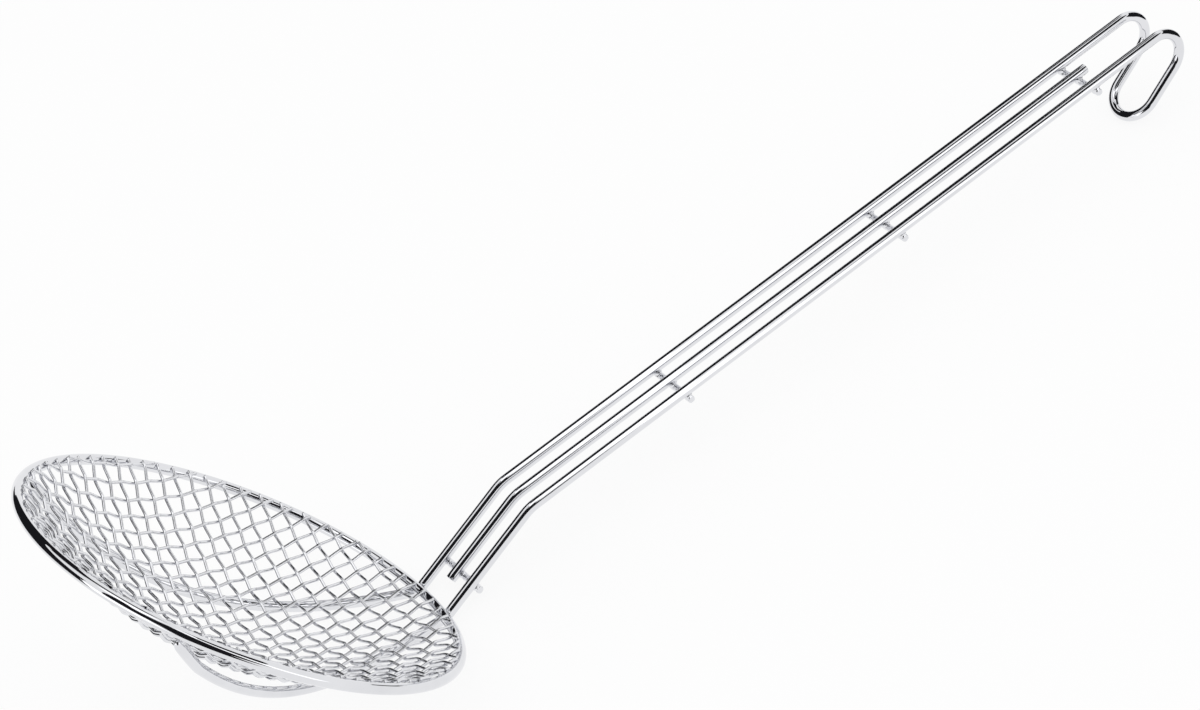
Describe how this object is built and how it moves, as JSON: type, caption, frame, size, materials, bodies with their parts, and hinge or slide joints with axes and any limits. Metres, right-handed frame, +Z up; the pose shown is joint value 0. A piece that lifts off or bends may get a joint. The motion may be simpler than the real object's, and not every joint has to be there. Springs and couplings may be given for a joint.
{
  "type": "wire skimmer",
  "caption": "Wire skimmer for deep frying: shallow woven wire dish in a round ring, on a long bent rod handle with cross bars, an under-dish fork and a hanging hook.",
  "frame": {"origin": "middle of the bounding box on the table that the skimmer lies on", "axes": "+Z up from the table, +X from the dish along the handle to the hook, the handle's mirror plane at y = 0"},
  "size_m": [0.5836, 0.205, 0.1581],
  "materials": {
    "ring": "bright polished round wire",
    "rods": "bright polished round rod",
    "bars": "bright wire, slightly duller at the welds",
    "mesh": "bright crimped wire"
  },
  "bodies": {
    "root": {"rim_ring": "ring", "handle_frame": "rods", "centre_rod": "rods", "cross_bar_1": "bars", "cross_bar_2": "bars", "cross_bar_3": "bars", "cross_bar_4": "bars", "warp_wire_01": "mesh", "warp_wire_02": "mesh", "warp_wire_03": "mesh", "warp_wire_04": "mesh", "warp_wire_05": "mesh", "warp_wire_06": "mesh", "warp_wire_07": "mesh", "warp_wire_08": "mesh", "warp_wire_09": "mesh", "warp_wire_10": "mesh", "warp_wire_11": "mesh", "warp_wire_12": "mesh", "warp_wire_13": "mesh", "warp_wire_14": "mesh", "warp_wire_15": "mesh", "warp_wire_16": "mesh", "warp_wire_17": "mesh", "warp_wire_18": "mesh", "warp_wire_19": "mesh", "warp_wire_20": "mesh", "warp_wire_21": "mesh", "warp_wire_22": "mesh", "warp_wire_23": "mesh", "warp_wire_24": "mesh", "warp_wire_25": "mesh", "weft_wire_01": "mesh", "weft_wire_02": "mesh", "weft_wire_03": "mesh", "weft_wire_04": "mesh", "weft_wire_05": "mesh", "weft_wire_06": "mesh", "weft_wire_07": "mesh", "weft_wire_08": "mesh", "weft_wire_09": "mesh", "weft_wire_10": "mesh", "weft_wire_11": "mesh", "weft_wire_12": "mesh", "weft_wire_13": "mesh", "weft_wire_14": "mesh", "weft_wire_15": "mesh", "weft_wire_16": "mesh", "weft_wire_17": "mesh", "weft_wire_18": "mesh", "weft_wire_19": "mesh", "weft_wire_20": "mesh", "weft_wire_21": "mesh", "weft_wire_22": "mesh", "weft_wire_23": "mesh", "weft_wire_24": "mesh", "weft_wire_25": "mesh", "weft_wire_26": "mesh"}
  },
  "joints": []
}
